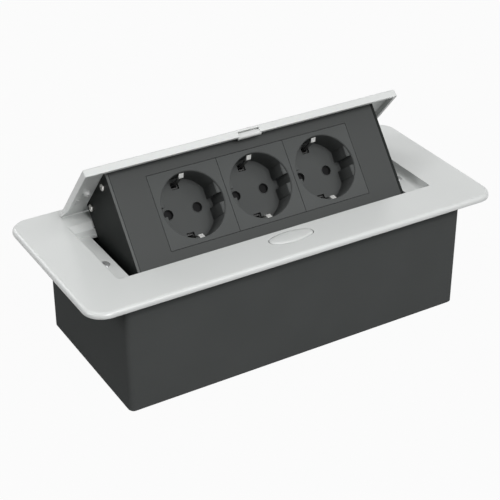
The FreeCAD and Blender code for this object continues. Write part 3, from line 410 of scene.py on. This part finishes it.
def profile_bar(name, half_width, outline):
    """A bar across the lid: an outline of (back, up) points in mm, drawn out to both sides."""
    pick_nothing()
    bpy.ops.mesh.primitive_circle_add(vertices=len(outline), radius=1.0, fill_type="NGON",
                                      location=(0, 0, 0))
    bar = bpy.context.object
    bar.name = bar.data.name = name
    for corner, (back, up) in zip(bar.data.vertices, outline):
        corner.co = (-half_width * mm, back * mm, up * mm)
    bpy.ops.object.mode_set(mode="EDIT")
    bpy.ops.mesh.select_mode(type="FACE")
    bpy.ops.mesh.select_all(action="SELECT")
    bpy.ops.mesh.extrude_region_move(TRANSFORM_OT_translate={"value": (2 * half_width * mm, 0, 0)})
    bpy.ops.mesh.select_all(action="SELECT")
    bpy.ops.mesh.normals_make_consistent(inside=False)
    bpy.ops.object.mode_set(mode="OBJECT")
    smooth_up_to(35)
    return bar


def soft_block(name, size, middle, edge):
    """A block with rounded edges: its size, its middle and the rounding's width, in mm."""
    pick_nothing()
    bpy.ops.mesh.primitive_cube_add(size=1.0, location=[v * mm for v in middle])
    piece = bpy.context.object
    piece.name = piece.data.name = name
    piece.scale = [v * mm for v in size]
    set_place()
    bpy.ops.object.mode_set(mode="EDIT")
    bpy.ops.mesh.select_all(action="SELECT")
    bpy.ops.mesh.bevel(offset=edge * mm, segments=3, profile=0.5)
    bpy.ops.object.mode_set(mode="OBJECT")
    smooth_up_to(40)
    return piece


dress(frame_paint, "lid")
# The lid's own axes: across, back along the lid, and up through it.
lid_axes = (Matrix.Translation((0, 6.8846 * mm, 48.6379 * mm))
            @ Matrix.Rotation(math.radians(-50.8), 4, "X"))
plate_under = 2.9 * mm


def under_lid(x, back):
    """A spot on the lid's underside, with Z pointing down out of it."""
    return (lid_axes @ Matrix.Translation((x, back, plate_under))
            @ Matrix.Rotation(math.radians(180), 4, "X"))


bosses = turned("lid_boss", [(2.6 * mm, -0.1 * mm), (2.05 * mm, 0.25 * mm), (1.75 * mm, 0.7 * mm),
                             (1.7 * mm, 1.9 * mm), (1.55 * mm, 2.05 * mm), (0.8 * mm, 2.05 * mm),
                             (0.7 * mm, 1.9 * mm), (0.7 * mm, 0.6 * mm)], 32)
bosses = copies_at(bosses, [under_lid(x, 31 * mm) for x in (-95.6 * mm, 95.6 * mm)])
pads = turned("ejector_pad", [(3.1 * mm, -0.1 * mm), (3.1 * mm, 0.4 * mm), (3.0 * mm, 0.5 * mm),
                              (1.2 * mm, 0.53 * mm), (1.1 * mm, 0.4 * mm)], 48)
pads = copies_at(pads, [under_lid(x, 41.5 * mm) for x in (-99.4 * mm, 99.4 * mm)])
inner_paint = finish_of("light_grey_inner_paint", (0.6, 0.61, 0.605), (0.57, 0.58, 0.575), 45, 0.9,
                        (0.6, 0.7), 0.006, round_mm=0.08, specular=0.2)
finished(joined("lid_bosses", [bosses, pads]), inner_paint, "socket_block")

strike_plastic = finish_of("light_grey_moulding", (0.62, 0.63, 0.62), (0.59, 0.6, 0.59), 10, 0.5,
                           (0.3, 0.38), 0.01)
dress(strike_plastic, "catch_strike")
nose = profile_bar("nose_skin", 7.03, [(2.2, 1.9), (0.42, 1.9), (0.36, 1.4), (0.34, 0.8),
                                       (0.36, 0.3), (0.43, -0.1), (2.2, -0.1)])
lip = profile_bar("nose_lip", 7.8, [(2.2, -0.06), (0.42, -0.06), (0.5, -0.35), (0.72, -0.62),
                                    (1.05, -0.8), (1.5, -0.9), (2.2, -0.92)])
stop = soft_block("nose_stop", size=(13.6, 0.6, 1.15), middle=(0, 1.98, 2.5), edge=0.15)
strike_lip = put_at(joined("strike_lip", [nose, lip, stop]), lid_axes)
finished(strike_lip, strike_plastic, "socket_block")


# Side panels and rear cover: thin steel with a smooth satin black coat. Along the front edge of the
# left panel the coat is paler, a painted highlight where the light would catch its rounded edge.
def graded(material, along, start_mm, end_mm, colour):
    """Blends a finish into another colour, from one level to the next along a direction."""
    tree = material.node_tree
    place, level = tree.nodes.new("ShaderNodeTexCoord"), tree.nodes.new("ShaderNodeVectorMath")
    level.operation = "DOT_PRODUCT"
    level.inputs[1].default_value = along
    share = tree.nodes.new("ShaderNodeMapRange")
    share.inputs["From Min"].default_value = start_mm * mm
    share.inputs["From Max"].default_value = end_mm * mm
    mix = tree.nodes.new("ShaderNodeMix")
    mix.data_type = "RGBA"
    mix.inputs["B"].default_value = (*colour, 1.0)
    base = tree.nodes["Principled BSDF"].inputs["Base Color"]
    own = base.links[0].from_socket
    tree.links.new(place.outputs["Object"], level.inputs[0])
    tree.links.new(level.outputs["Value"], share.inputs["Value"])
    tree.links.new(share.outputs["Result"], mix.inputs["Factor"])
    tree.links.new(own, mix.inputs["A"])
    tree.links.new(mix.outputs["Result"], base)


panel_paint = finish_of("satin_black_coat", (0.014, 0.016, 0.015), (0.011, 0.013, 0.012), 30, 0.5,
                        (0.55, 0.64), 0.02, index=1.2)
dress(panel_paint, "side_panel_right", "rear_cover")
edge_painted_highlight = finish_of("satin_black_painted_edge_highlight", (0.011, 0.013, 0.012), (0.009, 0.01, 0.01), 30,
                       0.5, (0.5, 0.6), 0.02, index=1.2)
# Painted highlight: a pale band blended into the coat along the left panel's front edge.
graded(edge_painted_highlight, face_out, 17.7, 18.0, (0.11, 0.115, 0.113))
dress(edge_painted_highlight, "side_panel_left")


# Faceplate: a graphite aluminium plate with a satin anodised surface and one window,
# which frames the three socket inserts.
face_paint = finish_of("satin_graphite_plate", (0.054, 0.057, 0.056), (0.048, 0.051, 0.05), 28, 0.4,
                       (0.52, 0.6), 0.014, round_mm=0.08, index=1.28)
dress(face_paint, "faceplate")


# Socket inserts: satin graphite mouldings with an earthed round dish, bright sprung
# earth clips in its slots with painted shade on their legs, a near-black shutter behind the two pin
# holes, partly a dark moulding and partly painted shade for their depth, and a black contact housing
# at the back. Each pin hole has a low collar on the dish's floor.
insert_plastic = finish_of("graphite_insert_moulding", (0.092, 0.096, 0.095), (0.083, 0.087, 0.086),
                           20, 0.45, (0.55, 0.63), 0.014, round_mm=0.08, index=1.12)
base_plastic = finish_of("black_contact_moulding", (0.028, 0.028, 0.028), (0.022, 0.022, 0.022), 12,
                         0.5, (0.5, 0.6), 0.02)
# The shutters are a dark moulding, coloured near black so that they also stand as painted shade for
# the depth of the pin holes.
shutter_painted_shade = finish_of("dark_shutter_painted_shade", (0.018, 0.018, 0.019), (0.013, 0.013, 0.013), 6,
                            0.3, (0.6, 0.7), 0.01, index=1.15)
clip_plate_painted_shade = finish_of("tinned_clip_painted_shade", (0.95, 0.95, 0.93), (0.9, 0.9, 0.88), 3, 0.25, (0.28, 0.36),
                       0.004, round_mm=0.2, metallic=0.5)
# Painted shade: the clips' legs are coloured darker towards the dish's floor, where they lie out of
# the light.
graded(clip_plate_painted_shade, face_out, 13.0, 10.5, (0.05, 0.05, 0.048))
for i in (1, 2, 3):
    dress(insert_plastic, f"socket_front_{i}")
    dress(base_plastic, f"socket_base_{i}")
    dress(clip_plate_painted_shade, f"earth_clip_{i}")
    dress(shutter_painted_shade, f"shutter_{i}")

# The face's own axes: across, up the face from below the lid, and out of it.
face_axes = (Matrix.Translation((0, 13.5233 * mm, 45.0865 * mm))
             @ Matrix.Rotation(face_lean, 4, "X"))
module_pitch, pin_reach = 45 * mm, 9.5 * mm
middle_down, dish_depth = 30.8 * mm, 17.5 * mm
collars = turned("pin_collars", [(2.97 * mm, -0.1 * mm), (2.97 * mm, 0.12 * mm),
                                 (3.05 * mm, 0.24 * mm), (3.2 * mm, 0.28 * mm),
                                 (3.38 * mm, 0.2 * mm), (3.5 * mm, -0.1 * mm),
                                 (2.97 * mm, -0.1 * mm)], 48)
collars = copies_at(collars, [face_axes @ Matrix.Translation((module + pin, -middle_down, -dish_depth))
                              for module in (-module_pitch, 0, module_pitch)
                              for pin in (-pin_reach, pin_reach)])
finished(collars, insert_plastic, "socket_block")


# Panel screws: nickel-plated screws with low domed heads and cross recesses, two on
# each side panel.
side_screws = cross_screw("side_screws", shank_radius=1.2 * mm, shank_length=6.0 * mm,
                          rings=[(1.25 * mm, 0.0), (2.2 * mm, 0.0), (2.2 * mm, 0.7 * mm),
                                 (1.95 * mm, 1.1 * mm), (1.3 * mm, 1.3 * mm)],
                          recess_reach=1.2 * mm, recess_depth=0.9 * mm)
panel_face, screw_drop = 90.5 * mm, 4.6 * mm
screw_spots = []
for back in (17.25 * mm, 45.15 * mm):
    for side in (-1, 1):
        spot = lid_axes @ Vector((side * panel_face, back, plate_under - screw_drop))
        screw_spots.append(Matrix.Translation(spot) @ Matrix.Rotation(side * math.radians(90), 4, "Y"))
side_screws = copies_at(side_screws, screw_spots)
finished(side_screws, bright_plate, "socket_block")
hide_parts("panel_screws")


# Carrier, rails and terminals: the works inside the block. The inserts clip into a
# zinc-plated carrier, and stamped brass rails lead from them to the terminal block.
dress(zinc_sheet, "support_frame")
dress(bright_plate, "support_screws", "cover_screws", "guide_screws")
brass = finish_of("contact_brass", (0.75, 0.56, 0.25), (0.66, 0.48, 0.2), 6, 0.3, (0.2, 0.32), 0.004,
                  round_mm=0.1, metallic=1.0)
dress(brass, "live_rail", "neutral_rail", "earth_rail", "terminal_screws")
light_plastic = finish_of("natural_grey_moulding", (0.55, 0.55, 0.52), (0.5, 0.5, 0.47), 8, 0.4,
                          (0.4, 0.5), 0.012)
dress(light_plastic, "terminal_block")


# Release button and latch: a painted oval button with a low crown and a soft edge,
# over a wedge-driven bolt of plated steel in a moulded guide.
def oval_outline(half_x, half_y, points):
    """A four-centred oval as a list of points: tight arcs at the ends, wide ones between."""
    slant = math.hypot(half_x, half_y)
    half_way = (slant - (half_x - half_y)) / 2
    end_radius = half_way * slant / half_x
    wide_radius = (slant - half_way) * slant / half_y
    turn = math.atan2(half_x, half_y)
    outline = []
    for i in range(points + 1):
        angle = math.pi / 2 * i / points
        if angle <= turn:
            outline.append((half_x - end_radius + end_radius * math.cos(angle),
                            end_radius * math.sin(angle)))
        else:
            outline.append((wide_radius * math.cos(angle),
                            half_y - wide_radius + wide_radius * math.sin(angle)))
    outline += [(-x, y) for x, y in reversed(outline[:-1])]
    return outline + [(x, -y) for x, y in reversed(outline[1:-1])]


dress(frame_paint, "release_button")
dress(bright_plate, "latch_bolt")
dress(light_plastic, "latch_guide")
button_y, button_top = -39.108 * mm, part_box("release_button")[1].z
quarter_points, sunk, edge_height = 24, 0.03 * mm, 0.04 * mm
pick_nothing()
bpy.ops.mesh.primitive_circle_add(vertices=4 * quarter_points, radius=1.0, fill_type="NGON",
                                  location=(0, 0, 0))
crown = bpy.context.object
crown.name = crown.data.name = "button_crown"
for corner, (x, y) in zip(crown.data.vertices, oval_outline(13.9 * mm, 5.4 * mm, quarter_points)):
    corner.co = (x, y + button_y, button_top - sunk)
bpy.ops.object.mode_set(mode="EDIT")
bpy.ops.mesh.select_mode(type="FACE")
bpy.ops.mesh.select_all(action="SELECT")
bpy.ops.mesh.extrude_region_move(TRANSFORM_OT_translate={"value": (0, 0, edge_height)})
for step_in, step_up in ((0.15, 0.06), (0.3, 0.06), (0.6, 0.06), (0.8, 0.04), (0.8, 0.02)):
    bpy.ops.mesh.inset(thickness=step_in * mm, depth=0.0)
    bpy.ops.transform.translate(value=(0, 0, step_up * mm))
bpy.ops.mesh.select_all(action="SELECT")
bpy.ops.mesh.normals_make_consistent(inside=False)
bpy.ops.object.mode_set(mode="OBJECT")
smooth_up_to(40)
finished(crown, frame_paint, "release_button")


# Button spring and latch spring: small compression springs of round steel wire in the
# guide. The first lifts the button, the second pushes the bolt's tongue over the nose.
push_wire = 0.5 * mm
guide_floor, guide_wall, bolt_level = -18.0 * mm, -48.758 * mm, -7.9 * mm
seat_gap = push_wire + 0.05 * mm


def pushing_spring(name, coil_radius, turns, length, spot):
    """A compression spring that stands on its spot and winds up along its Z."""
    coil = wound_wire(name, push_wire, coil_radius, 12, math.radians(360 * turns), length, 20 * turns)
    put_at(coil, spot)
    smooth_up_to(50)
    return finished(coil, spring_steel, "housing")


button_coil = pushing_spring("button_coil", 2.4 * mm, 4, 7.0 * mm,
                             Matrix.Translation((0, button_y, guide_floor + seat_gap)))
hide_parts("button_spring")
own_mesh(button_coil)
latch_coil = pushing_spring("latch_coil", 1.6 * mm, 2, 2.05 * mm,
                            Matrix.Translation((0, guide_wall + seat_gap, bolt_level))
                            @ Matrix.Rotation(math.radians(-90), 4, "X"))
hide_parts("latch_spring")
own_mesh(latch_coil)


# Studio: a plain white floor, a soft key light from high in front, paler ones from the
# right, the left, above and behind, and an even grey room. The floor and the room are
# white only where the camera or a reflection sees them.
def rays_of(tree, *kinds):
    """A socket that gives 1 for the named kinds of ray, and otherwise 0."""
    rays = tree.nodes.new("ShaderNodeLightPath")
    found = rays.outputs[kinds[0]]
    for kind in kinds[1:]:
        either = tree.nodes.new("ShaderNodeMath")
        either.operation = "MAXIMUM"
        tree.links.new(found, either.inputs[0])
        tree.links.new(rays.outputs[kind], either.inputs[1])
        found = either.outputs[0]
    return found


def mix_surface(tree, share, first, second, output):
    """Mixes two shaders by a share, as the surface of a material or of the world."""
    mixed = tree.nodes.new("ShaderNodeMixShader")
    tree.links.new(share, mixed.inputs["Fac"])
    tree.links.new(first, mixed.inputs[1])
    tree.links.new(second, mixed.inputs[2])
    tree.links.new(mixed.outputs["Shader"], output.inputs["Surface"])


floor_level = cad_box[0][2] - 0.2 * mm
pick_nothing()
bpy.ops.mesh.primitive_plane_add(size=8.0, location=(0, 0, floor_level))
floor = bpy.context.object
floor.name = "studio_floor"
set_place()
floor_white = bpy.data.materials.new("studio_white")
floor_white.use_nodes = True
tree = floor_white.node_tree
matt = tree.nodes["Principled BSDF"]
matt.inputs["Base Color"].default_value = (0.12, 0.12, 0.12, 1.0)
matt.inputs["Roughness"].default_value = 0.9
glow = tree.nodes.new("ShaderNodeEmission")
glow.inputs["Strength"].default_value = 1.0
glow_share = tree.nodes.new("ShaderNodeMath")
glow_share.operation = "MULTIPLY"
glow_share.inputs[1].default_value = 0.96
tree.links.new(rays_of(tree, "Is Camera Ray", "Is Glossy Ray"), glow_share.inputs[0])
mix_surface(tree, glow_share.outputs[0], matt.outputs["BSDF"], glow.outputs["Emission"],
            tree.nodes["Material Output"])
floor.data.materials.append(floor_white)

for name, spot, power in (("key_light", (0.0, -1.6, 1.4), 29.0),
                          ("right_light", (0.75, -1.15, 1.8), 10.0),
                          ("left_light", (-1.8, 0.2, 1.0), 11.0),
                          ("top_light", (-0.7, 0.4, 2.1), 6.0),
                          ("back_light", (-0.7, 2.0, 1.0), 8.0)):
    lamp = bpy.data.lights.new(name, "AREA")
    lamp.shape = "SQUARE"
    lamp.size = 0.9
    lamp.energy = power
    holder = bpy.data.objects.new(name, lamp)
    holder.location = spot
    holder.rotation_euler = (-Vector(spot)).to_track_quat("-Z", "Y").to_euler()
    scene.collection.objects.link(holder)

world = bpy.data.worlds.new("studio_room")
scene.world = world
world.use_nodes = True
tree = world.node_tree
room = tree.nodes["Background"]
room.inputs["Color"].default_value = (0.9, 0.92, 0.93, 1.0)
room.inputs["Strength"].default_value = 0.12
backdrop = tree.nodes.new("ShaderNodeBackground")
backdrop.inputs["Color"].default_value = (1.0, 1.0, 1.0, 1.0)
backdrop.inputs["Strength"].default_value = 1.0
mix_surface(tree, rays_of(tree, "Is Camera Ray", "Is Glossy Ray", "Is Transmission Ray"),
            room.outputs["Background"], backdrop.outputs["Background"], tree.nodes["World Output"])
